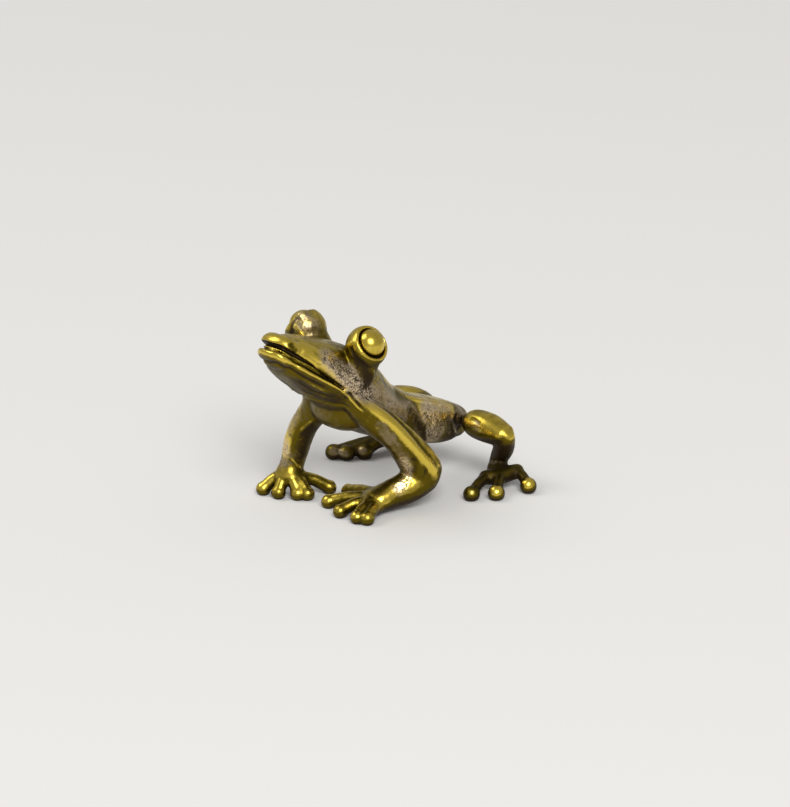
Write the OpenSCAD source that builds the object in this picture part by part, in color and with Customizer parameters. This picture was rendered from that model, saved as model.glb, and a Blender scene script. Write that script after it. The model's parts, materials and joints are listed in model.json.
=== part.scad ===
// A small sitting frog in solid brass, with its head raised and its toes spread.
// The frog faces -Y, its left side is +X, and its soles lie on the plane Z = 0.
// The forms are smooth lofts. Flat planes at the creases divide them into pieces,
// and each piece seats on a round spigot in a blind socket.

/* [Overall] */
// Length that the places follow, from the snout to the rump
frog_l = 35; // [31:1:40]
// Width that the places follow, a little over the two knees
frog_w = 25; // [22:1:29]
// Height that the places follow, from the soles to just above the eyes
frog_h = 25; // [22:1:28]

/* [Trunk and head] */
// Half width of the chest
chest_w = 4.6; // [4.2:0.1:5.2]
// Half height of the chest
chest_h = 4.2; // [3.8:0.1:4.8]
// Half width of the head at the corners of the mouth
head_w = 5; // [4.6:0.1:5.5]
// Half height of the head at the corners of the mouth
head_h = 3.9; // [3.5:0.1:4.4]
// Width of the groove between the lips
mouth_gap = 0.5; // [0.3:0.1:0.8]
// Depth of the groove between the lips
mouth_depth = 0.7; // [0.4:0.1:1]

/* [Eyes] */
// Diameter of the round turret that carries an eye
turret_d = 5.3; // [4.8:0.1:5.8]
// Diameter of the eye bead
eye_d = 3.3; // [2.9:0.1:3.6]
// How far the bead stands out of its ring
eye_rise = 1.2; // [0.8:0.1:1.4]
// Width of the groove around the bead
eye_groove = 0.35; // [0.2:0.05:0.4]
// Depth of the groove around the bead
eye_seat = 0.7; // [0.5:0.1:0.9]
// Diameter of the stem behind the bead
eye_stem_d = 1.2; // [1:0.1:1.5]
// Length of the stem behind the bead
eye_stem_l = 1.2; // [1:0.1:1.5]

/* [Forelegs] */
// Half thickness of the upper arm
arm_r = 1.9; // [1.6:0.1:2.2]
// Half thickness of the hand where its toes join
hand_r = 0.95; // [0.8:0.05:1.1]

/* [Hind legs] */
// Half thickness of the thigh
thigh_r = 1.85; // [1.7:0.05:2.1]
// Half thickness of the shank
shank_r = 1.5; // [1.3:0.1:1.8]
// Half width of the hind foot at the instep
foot_r = 1.5; // [1.3:0.1:1.8]

/* [Toes] */
// Half thickness of a toe
toe_r = 0.8; // [0.6:0.05:0.85]
// Diameter of the round pad at the end of a front toe
front_pad_d = 1.75; // [1.6:0.05:1.95]
// Diameter of the round pad at the end of a hind toe
hind_pad_d = 2.2; // [1.8:0.1:2.4]

/* [Spigots] */
// Diameter of the spigots at the shoulders
shoulder_spigot_d = 1.6; // [1.3:0.1:1.9]
// Diameter of the spigots at the hips, the knees, the ankles and the jaw
small_spigot_d = 1.1; // [0.9:0.1:1.3]
// Length of every spigot
spigot_l = 1.3; // [1:0.1:1.6]
// Clearance around a spigot and beyond its end
fit = 0.05; // [0.03:0.01:0.1]

/* [Hidden] */

brass = [0.78, 0.62, 0.18];
dark_brass = [0.6, 0.47, 0.14];

// Shift, in shares, that puts the origin under the middle of the frog
middle_share = [-0.045, 0.043, 0];
// Places are shares of half the width, of the length and of the height
function at(share) = [
    (share[0] + middle_share[0]) * frog_w / 2,
    (share[1] + middle_share[1]) * frog_l,
    share[2] * frog_h];

// Rows of a form: place, half width and half height of the section, and squareness
trunk_share = [
    [0, 0.375, 0.262, 0.64, 0.52, 3],
    [0, 0.33, 0.278, 0.71, 0.62, 3.6],
    [0, 0.25, 0.308, 0.73, 0.69, 3.8],
    [0, 0.165, 0.346, 0.69, 0.71, 3.2],
    [0, 0.085, 0.393, 0.7, 0.76, 2.6],
    [0, 0, 0.452, 0.83, 0.84, 2.2],
    [0, -0.085, 0.505, 1, 0.84, 2.2],
    [0, -0.155, 0.515, 0.96, 0.7, 2.2]];
head_share = [
    [0, 0.03, 0.445, 0.66, 0.7, 2],
    [0, -0.06, 0.535, 0.86, 0.9, 2.1],
    [0, -0.17, 0.655, 0.98, 1.05, 2.2],
    [0, -0.275, 0.746, 1, 0.98, 2.4],
    [0, -0.375, 0.825, 0.88, 0.81, 2.5],
    [0, -0.44, 0.876, 0.68, 0.66, 2.5],
    [0, -0.466, 0.895, 0.53, 0.54, 2.5]];
turret_root_share = [0.25, -0.195, 0.745];
turret_share = [0.417, -0.192, 0.882];
eye_axis_share = [0.8, 0.02, 0.6];

left_arm_share = [
    [0.3, -0.25, 0.65, 0.5, 0.5, 2],
    [0.33, -0.19, 0.555, 0.85, 0.85, 2],
    [0.4, -0.13, 0.475, 1.03, 1.03, 2],
    [0.505, -0.072, 0.385, 1.04, 1.04, 2],
    [0.56, -0.014, 0.28, 1.2, 1.2, 2],
    [0.588, 0.029, 0.19, 1.32, 1.32, 2]];
left_forearm_share = [
    [0.585, 0.026, 0.16, 1.3, 1.15, 2],
    [0.55, -0.022, 0.118, 1.05, 1.08, 2],
    [0.48, -0.085, 0.09, 0.95, 0.95, 2],
    [0.42, -0.14, 0.07, 1.05, 0.75, 2]];
right_arm_share = [
    [-0.28, -0.24, 0.64, 0.45, 0.5, 2],
    [-0.3, -0.19, 0.55, 0.8, 0.85, 2],
    [-0.37, -0.165, 0.46, 0.98, 1, 2],
    [-0.49, -0.172, 0.37, 0.9, 1, 2],
    [-0.57, -0.18, 0.27, 0.85, 1, 2],
    [-0.6, -0.195, 0.165, 0.78, 0.85, 2],
    [-0.605, -0.217, 0.11, 0.88, 0.78, 2]];

// Toes of a hand or foot: the place of each knuckle and of each tip
left_hand_share = [
    [[0.28, -0.13, 0.06], [-0.04, -0.218, 0.029]],
    [[0.36, -0.17, 0.062], [0.24, -0.262, 0.029]],
    [[0.43, -0.19, 0.06], [0.48, -0.264, 0.029]],
    [[0.49, -0.17, 0.055], [0.575, -0.25, 0.029]],
    [[0.26, -0.095, 0.06], [-0.14, -0.08, 0.022]]];
right_hand_share = [
    [[-0.66, -0.22, 0.1], [-0.78, -0.28, 0.029]],
    [[-0.605, -0.228, 0.102], [-0.59, -0.272, 0.029]],
    [[-0.545, -0.224, 0.097], [-0.424, -0.235, 0.029]],
    [[-0.52, -0.205, 0.095], [-0.352, -0.212, 0.029]],
    [[-0.505, -0.19, 0.092], [-0.33, -0.108, 0.028]]];
left_foot_share = [
    [[0.745, 0.3, 0.064], [0.84, 0.188, 0.03]],
    [[0.855, 0.335, 0.066], [1.012, 0.252, 0.033]],
    [[0.89, 0.408, 0.078], [1.11, 0.383, 0.036]]];
right_foot_share = [
    [[-0.78, 0.35, 0.072], [-1.02, 0.168, 0.032]],
    [[-0.76, 0.345, 0.072], [-0.9, 0.192, 0.032]],
    [[-0.72, 0.345, 0.072], [-0.79, 0.245, 0.032]]];

// Hind leg forms. The right thigh is drawn up closer to the trunk
left_thigh_share = [
    [0.14, 0.35, 0.298, 0.5, 0.5, 2],
    [0.32, 0.353, 0.298, 0.52, 0.5, 2],
    [0.45, 0.353, 0.3, 0.97, 0.95, 2],
    [0.63, 0.358, 0.294, 1.12, 1.03, 2],
    [0.8, 0.36, 0.28, 0.92, 0.84, 2]];
right_thigh_share = [
    [-0.14, 0.36, 0.29, 0.7, 0.65, 2],
    [-0.3, 0.37, 0.3, 0.95, 0.92, 2],
    [-0.45, 0.37, 0.3, 1.12, 1.05, 2],
    [-0.63, 0.363, 0.292, 1.08, 1.02, 2],
    [-0.8, 0.36, 0.275, 0.92, 0.84, 2]];
// Shank and instep on the left, mirrored on the right
shank_share = [
    [0.85, 0.36, 0.268, 0.85, 0.85, 2],
    [0.77, 0.383, 0.192, 0.9, 0.9, 2],
    [0.655, 0.404, 0.122, 0.75, 0.78, 2]];
instep_share = [
    [0.64, 0.406, 0.1, 0.75, 0.75, 2],
    [0.735, 0.368, 0.082, 0.95, 0.75, 2],
    [0.81, 0.337, 0.068, 0.95, 0.62, 2]];

// Places of the planes that divide the pieces
shoulder_share = [0.345, -0.142, 0.48];
shoulder_top_share = [0, 0, 0.64];
elbow_share = [0, 0, 0.2];
between_hands_share = [-0.24, 0, 0];
haunch_share = [0, 0.12, 0];
hip_share = [0, 0.352, 0.298];
hip_x = 0.74 * chest_w;
knee_share = [0.79, 0.377, 0.207];
ankle_share = [0.662, 0.402, 0.12];
mouth_tip_share = [0, -0.53, 0.945];
mouth_end_share = [0, -0.285, 0.69];
jaw_low_share = [0, -0.3, 0.4];
// Lean and turn of the shoulder planes
shoulder_lean = 14;
shoulder_turn = 6;

// Overrun of a cut, and the bite of a spigot into its own piece
over = frog_l;
bite = 0.6 * spigot_l;

// Vector helpers
function unit(v) = v / norm(v);
function place(row) = [row[0], row[1], row[2]];

// Rows in real sizes: the place, two half sizes of the section, and its squareness
function sized(rows, w, h) = [for (r = rows) concat(at(r), [r[3] * w, r[4] * h, r[5]])];

// A smooth curve through four neighbours
function curve(a, b, c, d, t) = 0.5 * (2 * b + (c - a) * t
    + (2 * a - 5 * b + 4 * c - d) * t * t + (3 * b - a - 3 * c + d) * t * t * t);
function row_at(rows, u) = let (last = len(rows) - 1, i = min(floor(u), last - 1))
    curve(rows[max(i - 1, 0)], rows[i], rows[i + 1], rows[min(i + 2, last)], u - i);
function smooth_rows(rows, steps) = [for (k = [0:steps * (len(rows) - 1)]) row_at(rows, k / steps)];

// A round end: rows that close in beyond the last row, away from the row before it
function end_rows(last, before, steps) = let (
    dir = unit(place(last) - place(before)),
    depth = (last[3] + last[4]) / 2)
    [for (k = [1:steps]) let (a = 90 * k / (steps + 0.5), p = place(last) + dir * depth * sin(a))
        concat(p, [last[3] * cos(a), last[4] * cos(a), last[5]])];
function reversed(list) = [for (i = [len(list) - 1:-1:0]) list[i]];
function closed_rows(rows, steps, cap) = let (mid = smooth_rows(rows, steps), n = len(mid))
    concat(reversed(end_rows(mid[0], mid[1], cap)), mid, end_rows(mid[n - 1], mid[n - 2], cap));

// One ring of points around a row, square to the path, with its second half size nearest to up
function power_of(v, p) = sign(v) * pow(abs(v), 2 / p);
function ring(row, dir, up, sides) = let (side = unit(cross(dir, up)), top = cross(side, dir))
    [for (k = [0:sides - 1]) let (a = 360 * k / sides)
        place(row) + side * row[3] * power_of(cos(a), row[5]) + top * row[4] * power_of(sin(a), row[5])];

// A closed form through rows
module loft(rows, up = [0, 0, 1], sides = 20, steps = 3, cap = 3) {
    all = closed_rows(rows, steps, cap);
    n = len(all);
    rings = [for (i = [0:n - 1])
        ring(all[i], unit(place(all[min(i + 1, n - 1)]) - place(all[max(i - 1, 0)])), up, sides)];
    first = place(all[0]);
    last = place(all[n - 1]);
    points = concat([for (r = rings) each r], [first, last]);
    walls = [for (i = [0:n - 2], k = [0:sides - 1]) let (
        a = i * sides + k, b = i * sides + (k + 1) % sides) each [[a, b, b + sides], [a, b + sides, a + sides]]];
    starts = [for (k = [0:sides - 1]) [n * sides, (k + 1) % sides, k]];
    ends = [for (k = [0:sides - 1]) [n * sides + 1, (n - 1) * sides + k, (n - 1) * sides + (k + 1) % sides]];
    polyhedron(points, concat(walls, starts, ends), convexity = 4);
}

// The forms of all its children as one skin of triangles
module one_skin() resize([0, 0, 0]) children();

// Trunk and head
module trunk_form() loft(sized(trunk_share, chest_w, chest_h), sides = 32, steps = 4, cap = 5);
module head_form(inset = 0) {
    rows = sized(head_share, head_w, head_h);
    loft([for (r = rows) concat(place(r), [r[3] - inset, r[4] - inset, r[5]])], sides = 32, steps = 4, cap = 5);
}
module mirrored(side) scale([side, 1, 1]) children();
function mirror_share(share, side) = [share[0] * side, share[1], share[2]];
function eye_place(side) = at(mirror_share(turret_share, side));
function eye_axis(side) = unit(mirror_share(eye_axis_share, side));
module turret_form(side) {
    r = turret_d / 2;
    root = at(mirror_share(turret_root_share, side));
    difference() {
        union() {
            hull() {
                translate(eye_place(side)) sphere(0.86 * r, $fn = 24);
                translate(root) sphere(r, $fn = 24);
            }
            translate(eye_place(side)) sphere(r, $fn = 36);
        }
        along(eye_place(side), eye_axis(side)) translate([-r, -r, ring_out]) cube(turret_d);
    }
}
// Distance from the turret's centre to the flat ring around the eye
ring_out = sqrt(turret_d * turret_d / 4 - pow(eye_d / 2 + 2 * eye_groove, 2));

// Children placed at a point, with their Z turned to an axis
module along(point, axis) translate(point)
    rotate([0, acos(axis[2] / norm(axis)), atan2(axis[1], axis[0])]) children();

// Limbs
module toes(table, root_r, pad_d) for (t = table) {
    knuckle = at(t[0]);
    tip = at(t[1]);
    rows = [
        concat(knuckle, [root_r, root_r, 2]),
        concat(0.5 * (knuckle + tip) + [0, 0, 0.35 * root_r], [0.85 * root_r, 0.9 * root_r, 2]),
        concat(tip, [0.95 * root_r, 0.95 * root_r, 2])];
    loft(rows, sides = 12, steps = 2, cap = 2);
    translate(tip) sphere(pad_d / 2, $fn = 16);
}
module left_arm_form() {
    loft(sized(left_arm_share, arm_r, arm_r), up = [0, 1, 0], sides = 18);
    loft(sized(left_forearm_share, arm_r, arm_r), sides = 18);
    palm(left_hand_share);
    toes(left_hand_share, toe_r, front_pad_d);
}
module right_arm_form() {
    loft(sized(right_arm_share, arm_r, arm_r), up = [0, 1, 0], sides = 18);
    palm(right_hand_share);
    toes(right_hand_share, toe_r, front_pad_d);
}
module palm(table) hull() for (t = table) translate(at(t[0])) sphere(hand_r, $fn = 14);
module hind_leg_form(side, thigh, foot) {
    flip = [side, 1, 1, 1, 1, 1];
    function flipped(rows) = [for (r = rows) [for (i = [0:5]) r[i] * flip[i]]];
    loft(sized(thigh, thigh_r, thigh_r), sides = 20);
    loft(sized(flipped(shank_share), shank_r, shank_r), up = [0, 1, 0], sides = 16);
    loft(sized(flipped(instep_share), foot_r, foot_r), sides = 18);
    palm(foot);
    toes(foot, toe_r, hind_pad_d);
}

// The whole frog before it is divided, cut flat at the soles
module frog() difference() {
    union() {
        trunk_form();
        head_form();
        turret_form(1);
        turret_form(-1);
        left_arm_form();
        right_arm_form();
        hind_leg_form(1, left_thigh_share, left_foot_share);
        hind_leg_form(-1, right_thigh_share, right_foot_share);
    }
    translate([-over, -over, -2 * over]) cube(2 * over);
}

// Directions and angles of the dividing planes
mouth_tip = at(mouth_tip_share);
mouth_end = at(mouth_end_share);
mouth_angle = atan2(mouth_tip[2] - mouth_end[2], mouth_end[1] - mouth_tip[1]);
function shoulder_axis(side) = [
    -side * cos(shoulder_lean) * cos(shoulder_turn),
    cos(shoulder_lean) * sin(shoulder_turn),
    sin(shoulder_lean)];

// A block between two corners
module block(low, high) translate(low) cube(high - low);

// Everything below the lips, in front of the throat
module jaw_cell() intersection() {
    translate(mouth_end) rotate([-mouth_angle, 0, 0]) block([-over, -over, -over], [over, over, 0]);
    block([-over, -over, at(jaw_low_share)[2]], [over, at(jaw_low_share)[1], over]);
}
// Everything beyond a shoulder, and the low part of the arm with its hand
module arm_cell(side) {
    shoulder = at(mirror_share(shoulder_share, side));
    elbow_z = at(elbow_share)[2];
    hands_x = at(between_hands_share)[0];
    haunch_y = at(haunch_share)[1];
    intersection() {
        translate(shoulder) mirrored(side) rotate([0, shoulder_lean, -shoulder_turn])
            block([0, -over, -over], [over, over, over]);
        block([-over, -over, elbow_z - bite], [over, haunch_y, at(shoulder_top_share)[2]]);
    }
    block([side > 0 ? hands_x : -over, -over, -over], [side > 0 ? over : hands_x, haunch_y, elbow_z]);
}
// Everything beyond a hip, between two heights
module leg_cell(side, low, high) {
    edge = at([0, 0, 0])[0] + side * hip_x;
    block([side > 0 ? edge : -over, at(haunch_share)[1], low], [side > 0 ? over : edge, over, high]);
}
knee_z = at(knee_share)[2];
ankle_z = at(ankle_share)[2];

// The groove between the lips, as deep as the head is wider than its inset form
module mouth_groove() difference() {
    translate(mouth_end) rotate([-mouth_angle, 0, 0])
        block([-over, -over, -mouth_gap / 2], [over, 0, mouth_gap / 2]);
    head_form(mouth_depth);
}

// A spigot from its own piece into its neighbour, and the blind socket for it
module spigot(point, axis, d) along(point, axis) translate([0, 0, -bite])
    cylinder(d = d, h = bite + spigot_l, $fn = 32);
module socket(point, axis, d) along(point, axis) translate([0, 0, -fit])
    cylinder(d = d + 2 * fit, h = spigot_l + 2 * fit, $fn = 32);

module shoulder_spigot(side) spigot(at(mirror_share(shoulder_share, side)), shoulder_axis(side),
    shoulder_spigot_d);
module shoulder_socket(side) socket(at(mirror_share(shoulder_share, side)), shoulder_axis(side),
    shoulder_spigot_d);
function hip_place(side) = at(hip_share) + [side * hip_x, 0, 0];
function knee_place(side) = at(mirror_share(knee_share, side));
function ankle_place(side) = at(mirror_share(ankle_share, side));
jaw_axis = [0, sin(mouth_angle), cos(mouth_angle)];
jaw_place = (mouth_tip + mouth_end) / 2;

// The seat of an eye bead: a round recess in the ring, and a bore for the stem
module eye_socket(side) along(eye_place(side), eye_axis(side)) {
    translate([0, 0, ring_out - eye_seat]) cylinder(d = eye_d + 2 * eye_groove, h = turret_d, $fn = 48);
    translate([0, 0, ring_out - eye_seat - eye_stem_l - fit])
        cylinder(d = eye_stem_d + 2 * fit, h = eye_stem_l + 2 * fit, $fn = 32);
}
// A domed bead on its stem
module eye(side) along(eye_place(side), eye_axis(side)) translate([0, 0, ring_out - eye_seat]) {
    rise = eye_seat + eye_rise;
    ball_r = (eye_d * eye_d / 4 + rise * rise) / (2 * rise);
    intersection() {
        translate([0, 0, rise - ball_r]) sphere(ball_r, $fn = 48);
        cylinder(d = 2 * eye_d, h = 2 * rise, $fn = 48);
    }
    translate([0, 0, -eye_stem_l]) cylinder(d = eye_stem_d, h = eye_stem_l + eye_seat, $fn = 32);
}

// The frog with the groove of its mouth
module grooved_frog() difference() {
    frog();
    mouth_groove();
}

// Pieces
module body() color(brass) difference() {
    one_skin() difference() {
        grooved_frog();
        jaw_cell();
        arm_cell(1);
        arm_cell(-1);
        leg_cell(1, -over, over);
        leg_cell(-1, -over, over);
    }
    eye_socket(1);
    eye_socket(-1);
    shoulder_socket(1);
    shoulder_socket(-1);
    socket(hip_place(1), [-1, 0, 0], small_spigot_d);
    socket(hip_place(-1), [1, 0, 0], small_spigot_d);
    socket(jaw_place, jaw_axis, small_spigot_d);
}
module lower_jaw() color(brass) {
    one_skin() intersection() {
        grooved_frog();
        jaw_cell();
    }
    spigot(jaw_place, jaw_axis, small_spigot_d);
}
module left_eye() color(brass) eye(1);
module right_eye() color(brass) eye(-1);
module foreleg(side) color(brass) {
    one_skin() intersection() {
        frog();
        arm_cell(side);
    }
    shoulder_spigot(side);
}
module left_foreleg() foreleg(1);
module right_foreleg() foreleg(-1);
module thigh(side) color(brass) difference() {
    union() {
        one_skin() intersection() {
            frog();
            leg_cell(side, knee_z, over);
        }
        spigot(hip_place(side), [-side, 0, 0], small_spigot_d);
    }
    socket(knee_place(side), [0, 0, 1], small_spigot_d);
}
module left_thigh() thigh(1);
module right_thigh() thigh(-1);
module shank(side) color(dark_brass) {
    one_skin() intersection() {
        frog();
        leg_cell(side, ankle_z, knee_z);
    }
    spigot(knee_place(side), [0, 0, 1], small_spigot_d);
    spigot(ankle_place(side), [0, 0, -1], small_spigot_d);
}
module left_shank() shank(1);
module right_shank() shank(-1);
module hind_foot(side) color(dark_brass) difference() {
    one_skin() intersection() {
        frog();
        leg_cell(side, -over, ankle_z);
    }
    socket(ankle_place(side), [0, 0, -1], small_spigot_d);
}
module left_hind_foot() hind_foot(1);
module right_hind_foot() hind_foot(-1);

body();
lower_jaw();
left_eye();
right_eye();
left_foreleg();
right_foreleg();
left_thigh();
right_thigh();
left_shank();
right_shank();
left_hind_foot();
right_hind_foot();
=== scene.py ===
# A small polished brass frog that sits on its toe pads.
# Its pieces are joined into one skin, which is blended, carved and worn smooth,
# and is then cut again at the creases where the pieces meet.

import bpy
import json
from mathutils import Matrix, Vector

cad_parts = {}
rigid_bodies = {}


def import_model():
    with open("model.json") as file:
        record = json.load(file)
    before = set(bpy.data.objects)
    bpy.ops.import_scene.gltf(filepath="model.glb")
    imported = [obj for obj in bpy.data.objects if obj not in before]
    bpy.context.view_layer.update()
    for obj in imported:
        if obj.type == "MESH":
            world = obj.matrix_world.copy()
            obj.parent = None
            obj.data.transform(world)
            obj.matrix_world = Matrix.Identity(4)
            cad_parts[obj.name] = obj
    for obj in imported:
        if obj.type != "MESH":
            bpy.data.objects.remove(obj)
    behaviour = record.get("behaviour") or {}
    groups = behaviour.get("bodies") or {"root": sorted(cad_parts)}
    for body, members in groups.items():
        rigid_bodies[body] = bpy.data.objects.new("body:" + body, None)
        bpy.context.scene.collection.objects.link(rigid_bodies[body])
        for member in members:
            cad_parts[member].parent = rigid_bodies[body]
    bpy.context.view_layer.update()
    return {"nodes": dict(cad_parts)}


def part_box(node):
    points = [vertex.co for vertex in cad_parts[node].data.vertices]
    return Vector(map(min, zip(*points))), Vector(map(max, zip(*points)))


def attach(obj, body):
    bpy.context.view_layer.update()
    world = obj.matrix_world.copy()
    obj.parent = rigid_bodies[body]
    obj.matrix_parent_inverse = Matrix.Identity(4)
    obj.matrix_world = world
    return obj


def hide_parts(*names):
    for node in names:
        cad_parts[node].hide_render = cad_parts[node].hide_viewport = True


bl_info = {
    "name": "Brass frog ornament",
    "version": (1, 0, 0),
    "blender": (4, 5, 0),
    "location": "View3D > Sidebar > Frog",
    "description": "Models the skin, the eyes and the worn finish of a small brass frog",
    "category": "Object",
}

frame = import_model()

import json
import math

import bmesh
import bpy
import numpy as np
from bpy.props import FloatProperty, FloatVectorProperty, IntProperty, PointerProperty
from mathutils import Matrix, Vector
from mathutils.bvhtree import BVHTree
from mathutils.kdtree import KDTree

MM = 0.001

# The photograph's view: a pixel and the point of the floor that it shows
PHOTO_WIDTH = 790
PHOTO_HEIGHT = 807
PIXELS_PER_MM = 8.0
ANCHOR_PIXEL = (374, 493)
ANCHOR = Vector((-0.5625, 1.505, 0)) * MM
VIEW_AZIMUTH = math.radians(43.5)
VIEW_ELEVATION = math.radians(19)
VIEW_DISTANCE = 700 * MM

# The plane that the two sides of the frog mirror in
MIDDLE_X = -0.5625 * MM

# Seams between the pieces, where the solids meet
SHOULDER = Vector((4.3125, -3.465, 12)) * MM
SHOULDER_LEAN = math.radians(14)
SHOULDER_TURN = math.radians(6)
SHOULDER_TOP = 16 * MM
ELBOW_Z = 5 * MM
BETWEEN_HANDS_X = -3.5625 * MM
HAUNCH_Y = 5.705 * MM
HIP_OUT = 3.404 * MM
KNEE_Z = 5.175 * MM
ANKLE_Z = 3 * MM
MOUTH_END = Vector((-0.5625, -8.47, 17.25)) * MM
MOUTH_TIP = Vector((-0.5625, -17.045, 23.625)) * MM
JAW_BACK_Y = -8.995 * MM
JAW_LOW_Z = 10 * MM
FAR = 60 * MM

# Which way the left eye looks, how far in mm its bead lies off the middle of its ring, and by
# what share of its size the bead is widened
EYE_AXIS = (0.8, 0.02, 0.6)
BEAD_LEAN = (-0.03, 0.1, 0.1)
BEAD_WIDENED = 0.07
BEAD_GRAIN = 0.09 * MM

# Below this the front legs count as hands, whose toes get webs
HAND_TOP_Z = 3.6 * MM

# Painted shade on the hind legs: how far out from the middle it starts, the height in mm below
# which there is some, over how many mm it comes in, and how much there is
LEG_OUT = 5.2 * MM
LEG_SHADE_TOP = 6.9
LEG_SHADE_FADE = 1.6
LEG_SHADE = 1.7

# Patina and painted shade round the beads: the groove's width and how much there is
GROOVE_WIDTH = 0.3 * MM
GROOVE_PATINA_AND_SHADE = 1.5

SKIN_NODES = ("body", "lower_jaw", "left_foreleg", "right_foreleg", "left_thigh", "right_thigh",
              "left_shank", "right_shank", "left_hind_foot", "right_hind_foot")
EYE_NODES = ("left_eye", "right_eye")

# What the skin's vertices carry for the brass
LAYERS = ("crust", "fine_hollow", "broad_hollow", "shelter", "pitting", "underside")

# How far apart the places along a carved line, a patch and the mouth are
LINE_STEP = 0.08 * MM
PATCH_STEP = 0.15 * MM
MOUTH_STEP = 0.2 * MM

# A line fades over this share of its length at each end, down to this share of its height,
# and its crust and painted light reach a little past it
LINE_FADE = 0.2
LINE_END_SHARE = 0.25
LINE_CRUST_AND_LIGHT_REACH = 1.15

# Equal corners of a solid's loose triangles, and how much coarser the first skin is
SAME_PLACE = 0.001 * MM
FIRST_GRAIN = 1.3

# Rounds of smoothing after each step
JOINED_ROUNDS = 3
BULGE_ROUNDS = 4
MOUTH_ROUNDS = 14
LINE_ROUNDS = 2
BEAD_ROUNDS = 6
FINE_HOLLOW_ROUNDS = 6
BROAD_HOLLOW_ROUNDS = 60
CRUST_SPREAD_ROUNDS = 4

# Depth in mm at which a hollow counts in full
FINE_HOLLOW = 0.02
BROAD_HOLLOW = 0.12

# Edges sharper than this stay sharp
SKIN_SHARP = math.radians(35)
BEAD_SHARP = math.radians(50)

# Relief of the cast surface: the pattern, its size and strength in mm, and the group of
# vertices that it is kept to
RELIEF = (
    ("CLOUDS", 1.7, 0.09, ""),
    ("CLOUDS", 0.8, 0.1, "pitted"),
    ("VORONOI", 0.36, 0.09, "pitted"),
)

# Patterns of the brass, in repeats per metre, from broad clouds to fine specks
CLOUD_SCALE = 330.0
GRAIN_SCALE = 1300.0
STIPPLE_SCALE = 4200.0
SPECK_SCALE = 6000.0
BUMP_DEPTH = 0.06 * MM

# Lamps: how far back, to the right and up from the frog in the photograph's view, and the
# length of a side, in metres
STAGE_CENTRE = (0, 0, 0.012)
KEY_PLACE = (1.75, 0.225, 0.65)
KEY_SIZE = 0.85
SIDE_PLACE = (0.3, -1.125, 1.35)
SIDE_SIZE = 0.9
SKY_COLOUR = (1, 0.99, 0.97, 1)
FLOOR_SIZE = 4
FLOOR_Z = -0.02 * MM
SENSOR_MM = 36
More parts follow.
